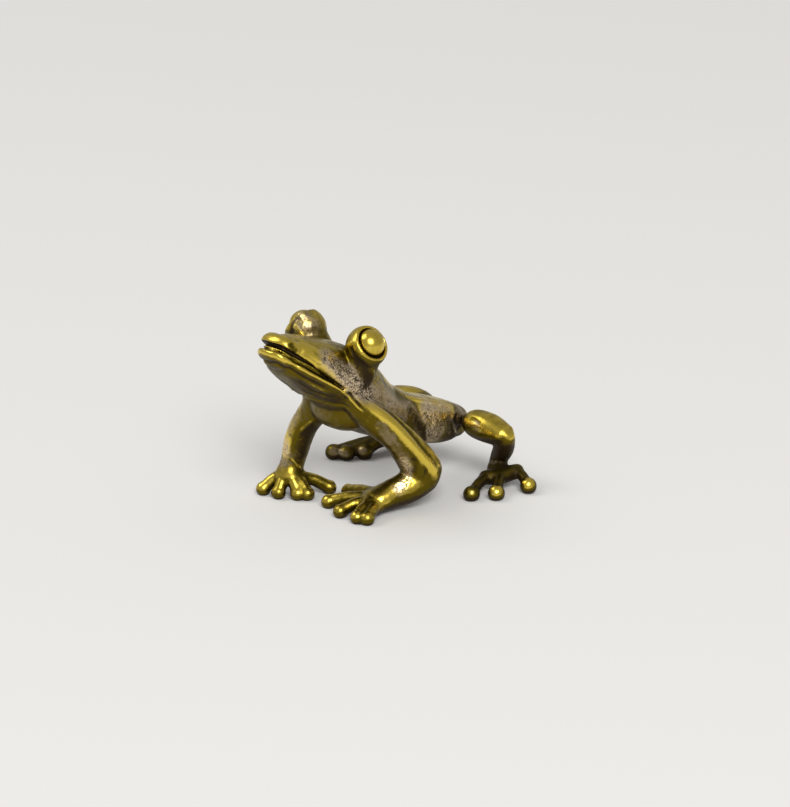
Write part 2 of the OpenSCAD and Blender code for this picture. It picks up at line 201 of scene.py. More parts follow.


# Lines on the near side, as pixels of the photograph, with half width and height in mm.
# A negative height carves, a positive one raises. Crust below 0 is rubbed bright, and above 0
# it is dark; in creases it is patina with painted shade, on ridges polish with painted highlight.
# Each line is mirrored to the far side unless it says otherwise, and one that goes across runs on
# over the middle to the other side.
LINES = {
    "snout_top": dict(
        pixels=((284, 341), (278, 339), (273, 338)),
        wide=1.0, crust=-1.4, across=True),
    "cheek_ridge": dict(
        pixels=((298, 346), (308, 350), (320, 358), (334, 369), (346, 381), (357, 392)),
        wide=1.2, high=0.2, crust=-2.0),
    "nostril_dent": dict(
        pixels=((290, 342), (293, 347), (297, 353)),
        wide=0.8, high=-0.14, crust=0.9),
    "under_upper_lip": dict(
        pixels=((272, 342), (284, 347), (297, 354), (310, 361), (324, 371), (338, 382)),
        wide=0.45, high=0.06, crust=0.3),
    "lower_lip_roll": dict(
        pixels=((292, 364), (285, 360), (278, 355), (270, 353)),
        wide=0.8, high=0.15, crust=-1, across=True),
    "lower_lip_edge": dict(
        pixels=((290, 363), (300, 368), (312, 375), (324, 381), (336, 387), (345, 391)),
        wide=0.32, high=0.12, crust=-0.9),
    "under_lip_groove": dict(
        pixels=((266, 362), (276, 363), (286, 368), (298, 374), (312, 382), (328, 389)),
        wide=0.5, high=-0.16, crust=0.6),
    "chin_wrinkle": dict(
        pixels=((305, 380), (314, 386), (322, 390), (329, 393)),
        wide=0.35, high=0.12, crust=-0.5),
    "chin_wrinkle_groove": dict(
        pixels=((300, 382), (310, 389), (321, 394), (333, 397)),
        wide=0.4, high=-0.14, crust=0.6),
    "chin_fold": dict(
        pixels=((301, 390), (308, 394), (316, 397)),
        wide=0.4, high=0.12, crust=-0.4),
    "chin_groove": dict(
        pixels=((304, 396), (315, 400), (327, 403), (340, 405), (352, 409)),
        wide=0.5, high=-0.28, crust=0.7),
    "jaw_crease": dict(
        pixels=((343, 388), (350, 394), (357, 402), (364, 410)),
        wide=0.3, high=-0.24, crust=0.7),
    "jaw_crease_lip": dict(
        pixels=((342, 392), (349, 398), (356, 405), (362, 411)),
        wide=0.3, high=0.14, crust=-0.7),
    "brow_blob": dict(
        pixels=((341, 349), (347, 346), (352, 342)),
        wide=0.55, high=0.14, crust=-0.9),
    "eye_front_crease": dict(
        pixels=((350, 347), (352, 352), (355, 358)),
        wide=0.5, high=-0.2, crust=0.8),
    "under_eye_hollow": dict(
        pixels=((351, 354), (357, 361), (362, 369), (366, 379), (371, 389)),
        wide=1.2, high=-0.3, crust=1.0),
    "far_eye_lid_crease": dict(
        pixels=((291, 330), (292, 325), (295, 320), (299, 317)),
        wide=0.3, high=-0.12, crust=1, mirror=False),
    "far_eye_base": dict(
        pixels=((292, 330), (300, 331), (310, 331), (320, 330)),
        wide=0.6, high=-0.05, crust=0.8, mirror=False),
    "turret_stem_ridge": dict(
        pixels=((373, 369), (373, 377), (371, 385)),
        wide=0.3, high=0.12, crust=-0.4),
    "neck_side": dict(
        pixels=((380, 375), (388, 386), (398, 396), (408, 406)),
        wide=1.2, high=-0.1, crust=0.45),
    "arm_ridge": dict(
        pixels=((369, 403), (380, 413), (391, 422), (402, 433),
                (413, 446), (424, 459), (432, 470), (436, 480)),
        wide=1.0, high=0.42, crust=-2.0, mirror=False),
    "arm_outer_hollow": dict(
        pixels=((378, 404), (389, 412), (401, 423), (412, 435), (423, 449), (434, 463)),
        wide=0.7, high=-0.15, crust=0.7, mirror=False),
    "arm_inner_facet": dict(
        pixels=((366, 414), (377, 424), (388, 435), (398, 448), (407, 461)),
        wide=0.9, high=-0.12, crust=0.15, mirror=False),
    "arm_root_crack": dict(
        pixels=((366, 398), (373, 402), (379, 405), (386, 410)),
        wide=0.3, high=-0.32, crust=1),
    "elbow_pit": dict(
        pixels=((412, 458), (415, 467), (412, 476)),
        wide=0.7, high=-0.22, crust=0.6, mirror=False),
    "elbow_crease": dict(
        pixels=((418, 452), (423, 461), (426, 470), (423, 481)),
        wide=0.4, high=-0.12, crust=0.6, mirror=False),
    # A painted highlight on a flat facet of the forearm
    "forearm_facet": dict(
        pixels=((374, 508), (382, 503), (390, 498)),
        wide=0.8, high=-0.04, crust=-0.7, mirror=False),
    # A painted highlight along the edge of the armpit
    "armpit_edge": dict(
        pixels=((300, 432), (306, 426), (313, 420)),
        wide=0.4, high=0.14, crust=-0.7, mirror=False),
    "wrist_tendon": dict(
        pixels=((291, 458), (297, 465), (301, 469)),
        wide=0.3, high=0.14, crust=-0.8, mirror=False),
    "flank_top_edge": dict(
        pixels=((407, 397), (418, 400), (432, 402), (444, 405), (452, 407)),
        wide=0.5, high=0.22, crust=-1.6),
    "flank_corner": dict(
        pixels=((452, 409), (453, 418), (454, 428), (455, 434)),
        wide=0.6, high=0.14),
    # Carved, with painted shade where the rump turns away
    "rump_hollow": dict(
        pixels=((459, 416), (459, 423), (460, 430)),
        wide=0.8, high=-0.3, crust=1),
    "flank_front_hollow": dict(
        pixels=((407, 405), (413, 415), (420, 427), (428, 437)),
        wide=1.0, high=-0.15, crust=0.5),
    "thigh_knee_crease": dict(
        pixels=((470, 418), (475, 420), (480, 424)),
        wide=0.4, high=-0.1, crust=0.7),
    # Carved, with painted shade under the thigh
    "thigh_under": dict(
        pixels=((470, 436), (481, 440), (493, 442), (506, 440)),
        wide=0.6, high=-0.12, crust=0.9),
}

# Fuller forms, raised before the mouth is cut
BULGES = {
    "upper_lip": dict(
        pixels=((300, 352), (290, 346), (283, 342), (277, 340), (273, 339)),
        wide=1.7, high=0.6, across=True),
    "lower_lip": dict(
        pixels=((290, 364), (283, 359), (276, 356), (270, 355)),
        wide=1.2, high=0.25, across=True),
    "far_eye_lid": dict(
        pixels=((298, 318), (301, 315), (305, 313)),
        wide=0.9, high=0.4, mirror=False),
    "inner_elbow": dict(
        pixels=((398, 463), (403, 469), (404, 474), (400, 480), (394, 483)),
        wide=1.5, high=0.12, mirror=False),
}

# The mouth on the near side from its corner to the middle of the snout, with the half height
# of the opening and its depth in mm
MOUTH = (
    ((344, 388), 0.07, 0.2),
    ((336, 383.5), 0.11, 0.4),
    ((326, 376.5), 0.16, 0.55),
    ((316, 369.5), 0.22, 0.65),
    ((305, 362.5), 0.3, 0.75),
    ((295, 356.5), 0.36, 0.85),
    ((285, 351), 0.4, 0.9),
    ((277, 347.5), 0.42, 0.95),
)

# The upper half of the opening's section: how far in from the skin, as a share of its depth,
# and how high, as a share of its half height. It flares out to beyond the skin.
MOUTH_SECTION = ((0, 1), (0.35, 0.85), (0.7, 0.65), (0.92, 0.35), (1, 0))
MOUTH_FLARE = (0.6 * MM, 1.7)
MOUTH_REACH = 1.5 * MM
LIP_WIDTH = 0.9 * MM
# How dark the inside of the mouth is made: patina together with painted shade
MOUTH_PATINA_AND_SHADE = 2.4

# Patches of the surface: the pixels of a line along the middle, the reach in mm, how pitted it
# is, its crust and painted light (dark above 0, bright below 0), and whether the far side has it
# too
PATCHES = (
    (((328, 357), (338, 366), (348, 377), (358, 388), (368, 394)), 2.0, 1, 0.15, True),
    (((368, 394), (381, 399), (392, 405), (403, 413)), 2.6, 0.6, 0.4, True),
    (((409, 407), (416, 421), (424, 437)), 1.5, 0.5, 0.8, True),
    # The next two: painted highlight on the flank's pitted face
    (((429, 410), (438, 421), (434, 432)), 2.4, 1, -1.0, True),
    (((441, 409), (447, 415)), 1.9, 0.9, -0.9, True),
    # Painted shade where the rump turns away
    (((461, 410), (459, 422), (453, 435)), 1.9, 0.6, 1.0, True),
    (((380, 425), (388, 437), (396, 449), (404, 463), (405, 475)), 1.4, 0.45, 0.1, False),
    # A painted silvery highlight in the crook of the near elbow
    (((403, 461), (407, 471), (405, 481), (399, 488)), 1.3, 0.8, -0.8, False),
    # A painted silvery highlight at the far wrist
    (((286, 441), (285, 451)), 1.1, 0.8, -0.8, False),
    (((300, 385), (315, 392), (334, 399)), 1.9, 0.1, 0.45, True),
    (((301, 320), (310, 324)), 2.4, 0.5, 0.1, False),
    (((296, 414), (289, 428), (285, 446), (283, 462)), 1.5, 0.5, 0.15, False),
    # Painted shade on the inner side of the far arm
    (((310, 430), (303, 440), (300, 455)), 1.4, 0.3, 1.1, False),
    (((318, 411), (335, 418), (352, 424)), 1.8, 0.12, 0.05, True),
    (((475, 425), (477, 428)), 1.1, 0.4, -0.2, True),
    # The next two: painted highlights on the near hind toe pads
    (((496, 490), (496, 492)), 1.35, 0.1, -2.6, False),
    (((528, 482), (528, 484)), 1.35, 0.1, -2.6, False),
    # A painted highlight at the end of the first near hind toe
    (((470, 493), (472, 493)), 0.8, 0.3, -1.6, False),
    # The next two: painted glints on the far hind toes
    (((333, 452), (345, 454)), 1.0, 0.4, -1.2, False),
    (((361, 451), (363, 451)), 1.0, 0.5, -0.8, False),
    # A painted glint at the near ankle
    (((493, 459), (495, 461)), 1.0, 0.8, -0.7, False),
)


class FrogSkinSizes(bpy.types.PropertyGroup):
    """Sizes of the skin."""
    voxel: FloatProperty(
        name="Grain", description="Size of the skin's facets", default=0.1 * MM, unit="LENGTH",
        precision=6)
    kept: FloatProperty(
        name="Kept", description="Share of the facets that is kept after carving", default=0.68,
        min=0.1, max=1)
    blend_rounds: IntProperty(
        name="Blend", description="How far the creases between the forms are filled", default=24)
    web_rounds: IntProperty(
        name="Webs", description="How far the gaps between the front toes are filled", default=110)
    toe_fullness: FloatProperty(
        name="Fuller toes", description="How much thicker than the solids the front toes are",
        default=0.1 * MM, unit="LENGTH", precision=6)
    polish_rounds: IntProperty(
        name="Polish", description="How much the carved skin is smoothed", default=4)


class FrogBrassColours(bpy.types.PropertyGroup):
    """Colours of the brass."""
    # Also stands for the painted highlights on ridges, facets, toe pads and glints
    polished: FloatVectorProperty(
        name="Polished", description="Brass where fingers rub it", subtype="COLOR", size=3,
        min=0, max=1, default=(0.72, 0.535, 0.08))
    # Also stands for painted shade, on sheltered and down-facing places
    olive: FloatVectorProperty(
        name="Olive", description="Brass that has dulled a little", subtype="COLOR", size=3,
        min=0, max=1, default=(0.12, 0.086, 0.006))
    # Also stands for the painted shade in the mouth, on the hind legs, at the rump and inside the
    # right arm
    patina: FloatVectorProperty(
        name="Patina", description="Brown crust in the hollows", subtype="COLOR", size=3,
        min=0, max=1, default=(0.04, 0.025, 0.009))
    # The pitted brass's own pale tone together with a painted sheen, brightest at the painted
    # highlights of the flank, elbow and wrist
    silver: FloatVectorProperty(
        name="Silvery", description="Pale glints in the pitted patches", subtype="COLOR", size=3,
        min=0, max=1, default=(0.72, 0.58, 0.43))


class FrogStageValues(bpy.types.PropertyGroup):
    """The floor and the lamps."""
    floor: FloatVectorProperty(
        name="Floor", description="Colour of the floor", subtype="COLOR", size=3,
        min=0, max=1, default=(0.8, 0.79, 0.77))
    sky: FloatProperty(
        name="Sky", description="Strength of the even light from all round", default=0.4)
    key: FloatProperty(
        name="Key", description="Power of the main soft lamp", default=26, unit="POWER")
    side: FloatProperty(
        name="Side", description="Power of the lamp at the side", default=8.1, unit="POWER")


def sizes():
    return bpy.context.scene.frog_skin


def select_only(*objects):
    bpy.ops.object.select_all(action="DESELECT")
    for ob in objects:
        ob.select_set(True)
    bpy.context.view_layer.objects.active = objects[0]


def copied(ob, name):
    """A copy with its own mesh, standing free in the scene."""
    copy = ob.copy()
    copy.data = ob.data.copy()
    copy.parent = None
    copy.matrix_world = Matrix.Identity(4)
    for key in list(copy.keys()):
        if key.startswith("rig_"):
            del copy[key]
    copy.name = name
    copy.data.name = name
    bpy.context.scene.collection.objects.link(copy)
    return copy


def modified(ob, kind, **settings):
    """Adds a modifier with its settings and applies it."""
    select_only(ob)
    modifier = ob.modifiers.new(kind.title(), kind)
    for key, value in settings.items():
        setattr(modifier, key, value)
    bpy.ops.object.modifier_apply(modifier=modifier.name)


def removed(*objects):
    for ob in objects:
        bpy.data.objects.remove(ob)


def points_of(ob):
    co = np.empty(len(ob.data.vertices) * 3, np.float32)
    ob.data.vertices.foreach_get("co", co)
    return co.reshape(-1, 3).astype(float)


def normals_of(ob):
    co = np.empty(len(ob.data.vertices) * 3, np.float32)
    ob.data.vertices.foreach_get("normal", co)
    return co.reshape(-1, 3).astype(float)


def set_points(ob, co):
    ob.data.vertices.foreach_set("co", co.astype(np.float32).ravel())
    ob.data.update()


def values_of(ob, layer):
    values = np.empty(len(ob.data.vertices), np.float32)
    ob.data.attributes[layer].data.foreach_get("value", values)
    return values


def stored(ob, name, values):
    layer = ob.data.attributes.get(name) or ob.data.attributes.new(name, "FLOAT", "POINT")
    layer.data.foreach_set("value", values.astype(np.float32))


def merged(ob):
    """Joins the loose triangles of a solid's copy at their equal corners."""
    select_only(ob)
    bpy.ops.object.mode_set(mode="EDIT")
    bpy.ops.mesh.select_all(action="SELECT")
    bpy.ops.mesh.remove_doubles(threshold=SAME_PLACE)
    bpy.ops.object.mode_set(mode="OBJECT")


def remeshed(ob, grain):
    modified(ob, "REMESH", mode="VOXEL", voxel_size=grain)


def smoothed(ob, rounds, group=""):
    modified(ob, "SMOOTH", factor=0.5, iterations=rounds, vertex_group=group)


def boolean(ob, other, operation):
    modified(ob, "BOOLEAN", object=other, operation=operation, solver="MANIFOLD")


def hollow_depth(ob, rounds):
    """How far smoothing would push each vertex outward: above 0 in hollows, below on ridges."""
    copy = copied(ob, "smoothed")
    smoothed(copy, rounds)
    moves = points_of(copy) - points_of(ob)
    removed(copy)
    return np.einsum("ij,ij->i", moves, normals_of(ob))


def tree_of(ob):
    mesh = bmesh.new()
    mesh.from_mesh(ob.data)
    tree = BVHTree.FromBMesh(mesh)
    mesh.free()
    return tree


def view_axes():
    a, e = VIEW_AZIMUTH, VIEW_ELEVATION
    back = Vector((math.sin(a) * math.cos(e), -math.cos(a) * math.cos(e), math.sin(e)))
    right = Vector((math.cos(a), math.sin(a), 0))
    return back, right, back.cross(right)


def camera_place():
    back, right, up = view_axes()
    across = (PHOTO_WIDTH / 2 - ANCHOR_PIXEL[0]) / PIXELS_PER_MM * MM
    rise = (ANCHOR_PIXEL[1] - PHOTO_HEIGHT / 2) / PIXELS_PER_MM * MM
    return ANCHOR + back * VIEW_DISTANCE + right * across + up * rise


def seen_at(tree, pixel):
    """The point of the skin that a pixel of the photograph shows, and its normal."""
    back, right, up = view_axes()
    across = (pixel[0] - ANCHOR_PIXEL[0]) / PIXELS_PER_MM * MM
    rise = (ANCHOR_PIXEL[1] - pixel[1]) / PIXELS_PER_MM * MM
    start = camera_place()
    aim = ANCHOR + right * across + up * rise
    place, normal, _, _ = tree.ray_cast(start, (aim - start).normalized())
    if place is None:
        raise RuntimeError(f"pixel {pixel} doesn't show the frog")
    return place, normal


def mirrored(v):
    return Vector((2 * MIDDLE_X - v.x, v.y, v.z))


def smooth_path(points, step):
    """A curve through the points, as an array of places about a step apart."""
    pts = [np.array(p, float) for p in points]
    out = []
    last = len(pts) - 1
    for i in range(last):
        a, b, c, d = pts[max(i - 1, 0)], pts[i], pts[i + 1], pts[min(i + 2, last)]
        count = max(2, int(np.linalg.norm(c[:3] - b[:3]) / step))
        for k in range(count):
            t = k / count
            out.append(0.5 * (2 * b + (c - a) * t + (2 * a - 5 * b + 4 * c - d) * t * t
                              + (3 * b - a - 3 * c + d) * t ** 3))
    out.append(pts[-1])
    return np.array(out)


def near_path(co, path, reach):
    """The vertices near a path, with their distances and the nearest step of the path."""
    near = np.where(np.all((co > path.min(0) - reach) & (co < path.max(0) + reach), axis=1))[0]
    gap = np.linalg.norm(co[near][:, None, :] - path[None], axis=2)
    index = gap.argmin(1)
    return near, gap[np.arange(len(near)), index], index


def line_share(co, normals, path, wide):
    """The vertices along a line, and how much of its height each takes, less at its ends."""
    near, distance, index = near_path(co, path[:, :3], wide)
    along = index / max(len(path) - 1, 1)
    fade = np.minimum(np.minimum(along, 1 - along) / LINE_FADE, 1)
    height = LINE_END_SHARE + (1 - LINE_END_SHARE) * fade
    same_side = np.einsum("ij,ij->i", normals[near], path[index][:, 3:]) > 0
    return near, np.clip(1 - (distance / wide) ** 2, 0, 1) ** 2 * height * same_side


def both_sides(tree, pixels):
    """Places and normals of the skin at the pixels, and the same mirrored to the far side."""
    seen = [seen_at(tree, pixel) for pixel in pixels]
    near_side = [(*p, *n) for p, n in seen]
    far_side = [(*mirrored(p), -n.x, n.y, n.z) for p, n in seen]
    return near_side, far_side


def drawn_lines(skin, lines):
    """Where the lines carve or raise the skin's vertices to, and the crust and painted light that
    they leave.
    """
    tree = tree_of(skin)
    co = points_of(skin)
    normals = normals_of(skin)
    crust = np.zeros(len(co))
    for line in lines.values():
        near_side, far_side = both_sides(tree, line["pixels"])
        if line.get("across"):
            sides = [near_side + far_side[::-1]]
        else:
            sides = [near_side, far_side] if line.get("mirror", True) else [near_side]
        for rows in sides:
            path = smooth_path(rows, LINE_STEP)
            near, share = line_share(co, normals, path, line["wide"] * MM)
            co[near] += normals[near] * (share * line.get("high", 0) * MM)[:, None]
            near, share = line_share(co, normals, path, line["wide"] * LINE_CRUST_AND_LIGHT_REACH * MM)
            crust[near] += share * line.get("crust", 0)
    return co, crust


def joined_skin():
    """One closed skin around copies of all the solids but the eyes."""
    parts = []
    for name in SKIN_NODES:
        part = copied(frame["nodes"][name], f"part_{name}")
        part.data.materials.clear()
        merged(part)
        parts.append(part)
    select_only(*parts)
    bpy.ops.object.join()
    skin = parts[0]
    skin.name = "skin"
    return skin


def blended(skin):
    """Fills the creases between the forms, most at the hands, whose toes it also makes fuller."""
    co = points_of(skin)
    hand = np.clip((HAND_TOP_Z - co[:, 2]) / MM, 0, 1) * (co[:, 1] < HAUNCH_Y)
    crease = np.maximum(hollow_depth(skin, sizes().blend_rounds), 0)
    web = np.maximum(hollow_depth(skin, sizes().web_rounds), 0) * hand
    out = np.maximum(crease, web) + hand * sizes().toe_fullness
    set_points(skin, co + normals_of(skin) * out[:, None])


class FROG_OT_model_skin(bpy.types.Operator):
    """Join the solids into one skin and blend the creases between their forms"""
    bl_idname = "frog.model_skin"
    bl_label = "Model skin"

    def execute(self, context):
        skin = joined_skin()
        remeshed(skin, sizes().voxel * FIRST_GRAIN)
        blended(skin)
        smoothed(skin, JOINED_ROUNDS)
        return {"FINISHED"}


def mouth_rows(skin):
    """The mouth's line from one corner to the other: place, outward, half height and depth."""
    tree = tree_of(skin)
    steepness = 0.3
    rows = []
    for pixel, half, depth in MOUTH:
        place, normal = seen_at(tree, pixel)
        flat = Vector((normal.x, normal.y, steepness * normal.z)).normalized()
        rows.append((*place, *flat, half * MM, depth * MM))
    far_side = [(*mirrored(Vector(r[:3])), -r[3], *r[4:]) for r in reversed(rows)]
    return smooth_path(rows + far_side, MOUTH_STEP)


def mouth_cutter(rows):
    """A curved wedge that opens the mouth from one corner round the snout to the other."""
    mesh = bmesh.new()
    rings = []
    for i, r in enumerate(rows):
        before, after = rows[max(i - 1, 0)][:3], rows[min(i + 1, len(rows) - 1)][:3]
        ahead = Vector(after - before).normalized()
        outward = Vector(r[3:6]).normalized()
        up = outward.cross(ahead).normalized()
        if up.z < 0:
            up = -up
        place, half, depth = Vector(r[:3]), r[6], r[7]
        shape = [MOUTH_FLARE] + [(-inward * depth, high) for inward, high in MOUTH_SECTION]
        upper = [place + outward * d + up * half * high for d, high in shape]
        lower = [place + outward * d - up * half * high for d, high in reversed(shape[:-1])]
        rings.append([mesh.verts.new(corner) for corner in upper + lower])
    for a, b in zip(rings, rings[1:]):
        for k in range(len(a)):
            n = (k + 1) % len(a)
            mesh.faces.new((a[k], a[n], b[n], b[k]))
    mesh.faces.new(rings[0])
    mesh.faces.new(list(reversed(rings[-1])))
    bmesh.ops.recalc_face_normals(mesh, faces=mesh.faces)
    data = bpy.data.meshes.new("mouth_cutter")
    mesh.to_mesh(data)
    mesh.free()
    cutter = bpy.data.objects.new("mouth_cutter", data)
    bpy.context.scene.collection.objects.link(cutter)
    return cutter


def weighted(skin, name, shares):
    """A group of the skin's vertices with a share each."""
    least = 0.01
    group = skin.vertex_groups.new(name=name)
    for i in np.where(shares > least)[0]:
        group.add([int(i)], float(min(shares[i], 1)), "REPLACE")


def smoothed_lips(skin, mouth):
    """Rounds the edges of the mouth's opening."""
    co = points_of(skin)
    near, distance, _ = near_path(co, mouth[:, :3], MOUTH_REACH)
    shares = np.zeros(len(co))
    shares[near] = np.clip(1.6 - distance / LIP_WIDTH, 0, 1)
    weighted(skin, "lips", shares)
    smoothed(skin, MOUTH_ROUNDS, "lips")
    skin.vertex_groups.clear()


def mouth_patina_and_shade(co, crust, mouth, whole):
    """Darkens the inside of the mouth with patina and painted shade; the inside lies below the
    skin as it was before the cut.
    """
    dark_from, dark_over = 0.12 * MM, 0.16 * MM
    near, _, _ = near_path(co, mouth[:, :3], MOUTH_REACH)
    below = np.array([whole.find_nearest(Vector(co[i]))[3] for i in near])
    dark = np.clip((below - dark_from) / dark_over, 0, 1)
    crust[near] = crust[near] * (1 - dark) + MOUTH_PATINA_AND_SHADE * dark


class FROG_OT_carve_lines(bpy.types.Operator):
    """Open the mouth and carve or raise the lines of the photograph"""
    bl_idname = "frog.carve_lines"
    bl_label = "Carve lines"

    def execute(self, context):
        skin = bpy.data.objects["skin"]
        set_points(skin, drawn_lines(skin, BULGES)[0])
        smoothed(skin, BULGE_ROUNDS)
        mouth = mouth_rows(skin)
        whole = tree_of(skin)
        cutter = mouth_cutter(mouth)
        boolean(skin, cutter, "DIFFERENCE")
        removed(cutter)
        remeshed(skin, sizes().voxel)
        smoothed(skin, sizes().polish_rounds)
        smoothed_lips(skin, mouth)
        co, crust = drawn_lines(skin, LINES)
        mouth_patina_and_shade(co, crust, mouth, whole)
        set_points(skin, co)
        stored(skin, "crust", crust)
        smoothed(skin, LINE_ROUNDS)
        return {"FINISHED"}


def half_sphere_rays(count):
    """Directions spread evenly over the half sphere above the floor."""
    golden = math.pi * (3 - math.sqrt(5))
    rays = []
    for i in range(count):
        z = (i + 0.5) / count
        r = math.sqrt(1 - z * z)
        rays.append(Vector((r * math.cos(golden * i), r * math.sin(golden * i), z)))
    return rays


def shelter_at(tree, place, normal, rays):
    """How much of the half sphere over a place is near skin or floor, from 0 to 1."""
    reach = 9 * MM
    lifted = 0.08 * MM
    turn = Vector((0, 0, 1)).rotation_difference(normal)
    start = place + normal * lifted
    hidden = 0
    for ray in rays:
        aim = turn @ ray
        distance = tree.ray_cast(start, aim, reach)[3]
        if aim.z < 0:
            floor = -start.z / aim.z
            if floor < reach and (distance is None or floor < distance):
                distance = floor
        if distance is not None:
            hidden += ray.z * (1 - distance / reach) ** 0.5
    return hidden / sum(ray.z for ray in rays)


def shelter_of(skin):
    """How sheltered each vertex of the skin is, worked out on a coarser copy."""
    grain = 0.4 * MM
    neighbours = 4
    softness = 0.05 * MM
    coarse = copied(skin, "coarse")
    remeshed(coarse, grain)
    tree = tree_of(coarse)
    rays = half_sphere_rays(40)
    found = KDTree(len(coarse.data.vertices))
    values = []
    for v in coarse.data.vertices:
        found.insert(v.co, v.index)
        values.append(shelter_at(tree, v.co, v.normal, rays))
    found.balance()
    out = np.empty(len(skin.data.vertices))
    for i, v in enumerate(skin.data.vertices):
        near = found.find_n(v.co, neighbours)
        weights = [1 / (d + softness) for _, _, d in near]
        out[i] = sum(w * values[j] for w, (_, j, _) in zip(weights, near)) / sum(weights)
    removed(coarse)
    return out


def patches_of(skin):
    """How pitted each vertex is, from 0 to 1, and its crust and painted light."""
    tree = tree_of(skin)
    co = points_of(skin)
    normals = normals_of(skin)
    least_facing = -0.2
    steepness = 1.5
    pitting = np.zeros(len(co))
    crust = np.zeros(len(co))
    for pixels, reach, pitted, crust_and_light, on_far_side in PATCHES:
        sides = both_sides(tree, pixels)
        for rows in sides if on_far_side else sides[:1]:
            path = smooth_path(rows, PATCH_STEP)
            near, distance, index = near_path(co, path[:, :3], reach * MM)
            facing = np.einsum("ij,ij->i", normals[near], path[index][:, 3:]) > least_facing
            share = np.clip(steepness - steepness * distance / (reach * MM), 0, 1) * facing
            pitting[near] = np.maximum(pitting[near], share * pitted)
            new = share * crust_and_light
            crust[near] = np.where(np.abs(new) > np.abs(crust[near]), new, crust[near])
    return pitting, crust


def spread(skin, values, rounds):
    """The values of the vertices after blending each with its neighbours."""
    edges = np.empty(len(skin.data.edges) * 2, np.int32)
    skin.data.edges.foreach_get("vertices", edges)
    a, b = edges.reshape(-1, 2).T
    count = np.bincount(a, minlength=len(values)) + np.bincount(b, minlength=len(values))
    for _ in range(rounds):
        total = np.bincount(a, values[b], len(values)) + np.bincount(b, values[a], len(values))
        values = (values + total / np.maximum(count, 1)) / 2
    return values


def lower_leg_shade(co):
    """Painted shade on the hind legs from below the knee down."""
    leg = (co[:, 1] > HAUNCH_Y) & (np.abs(co[:, 0] - MIDDLE_X) > LEG_OUT)
    height = co[:, 2] / MM
    return leg * np.clip((LEG_SHADE_TOP - height) / LEG_SHADE_FADE, 0, 1) * LEG_SHADE


def groove_patina_and_shade(co):
    """Dark patina and painted shade in the groove round each bead, most of it where the groove is
    widest.
    """
    out = np.zeros(len(co))
    for name in EYE_NODES:
        tree = tree_of(frame["nodes"][name])
        low, high = (np.array(corner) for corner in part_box(name))
        around = (low + high) / 2
        lean = np.array(BEAD_LEAN) * (np.sign(around[0] - MIDDLE_X), 1, 1)
        lean /= np.linalg.norm(lean)
        for i in np.where(np.all((co > low - MM) & (co < high + MM), axis=1))[0]:
            gap = tree.find_nearest(Vector(co[i]))[3]
            away = (co[i] - around) @ lean / np.linalg.norm(co[i] - around)
            beside_bead = min(max(1.5 - gap / GROOVE_WIDTH, 0), 1)
            widest = min(max(0.9 - 1.2 * away, 0), 1)
            out[i] = max(out[i], beside_bead * widest)
    return out


def displaced(skin, kind, size, strength, group):
    """Pushes the skin in and out by a pattern."""
    texture = bpy.data.textures.new("relief", kind)
    texture.noise_scale = size * MM
    modified(skin, "DISPLACE", texture=texture, texture_coords="LOCAL", vertex_group=group,
             strength=strength * MM, mid_level=0.5)


class FROG_OT_wear_skin(bpy.types.Operator):
    """Pit the rough patches, work out where the crust stays in the hollows, and where shade and
    highlights are painted
    """
    bl_idname = "frog.wear_skin"
    bl_label = "Wear skin"

    def execute(self, context):
        skin = bpy.data.objects["skin"]
        pitting, crust = patches_of(skin)
        weighted(skin, "pitted", pitting)
        for pattern in RELIEF:
            displaced(skin, *pattern)
        co = points_of(skin)
        # Painted shade: the brass is darkened on the surfaces that face down
        down = 0.25 - normals_of(skin)[:, 2]
        fine = hollow_depth(skin, FINE_HOLLOW_ROUNDS)
        broad = hollow_depth(skin, BROAD_HOLLOW_ROUNDS)
        crust = values_of(skin, "crust") + crust
        crust = crust + GROOVE_PATINA_AND_SHADE * groove_patina_and_shade(co) + lower_leg_shade(co)
        stored(skin, "crust", spread(skin, crust, CRUST_SPREAD_ROUNDS))
        stored(skin, "fine_hollow", np.clip(fine / (FINE_HOLLOW * MM), -1, 1))
        stored(skin, "broad_hollow", np.clip(broad / (BROAD_HOLLOW * MM), -1, 1))
        # The brass darkens with shelter: patina in the hollows together with painted shade where
        # skin and floor hide the light
        stored(skin, "shelter", shelter_of(skin))
        stored(skin, "pitting", pitting)
        stored(skin, "underside", np.clip(down / 0.9, 0, 1))
        return {"FINISHED"}


def layers_carried(skin, pieces):
    """Gives each piece's vertices, also those on a cut, what the nearest of the skin's carry."""
    found = KDTree(len(skin.data.vertices))
    for v in skin.data.vertices:
        found.insert(v.co, v.index)
    found.balance()
    values = {layer: values_of(skin, layer) for layer in LAYERS}
    for piece in pieces:
        nearest = np.array([found.find(v.co)[1] for v in piece.data.vertices])
        for layer in LAYERS:
            stored(piece, layer, values[layer][nearest])


def without_crumbs(piece):
    """Leaves a piece only its largest shell, without the crumbs of a cut."""
    mesh = bmesh.new()
    mesh.from_mesh(piece.data)
    shells = []
    seen = set()
    for start in mesh.verts:
        if start in seen:
            continue
        seen.add(start)
        shell = [start]
        for vert in shell:
            for edge in vert.link_edges:
                other = edge.other_vert(vert)
                if other not in seen:
                    seen.add(other)
                    shell.append(other)
        shells.append(shell)
    shells.sort(key=len)
    bmesh.ops.delete(mesh, geom=[vert for shell in shells[:-1] for vert in shell], context="VERTS")
    mesh.to_mesh(piece.data)
    mesh.free()


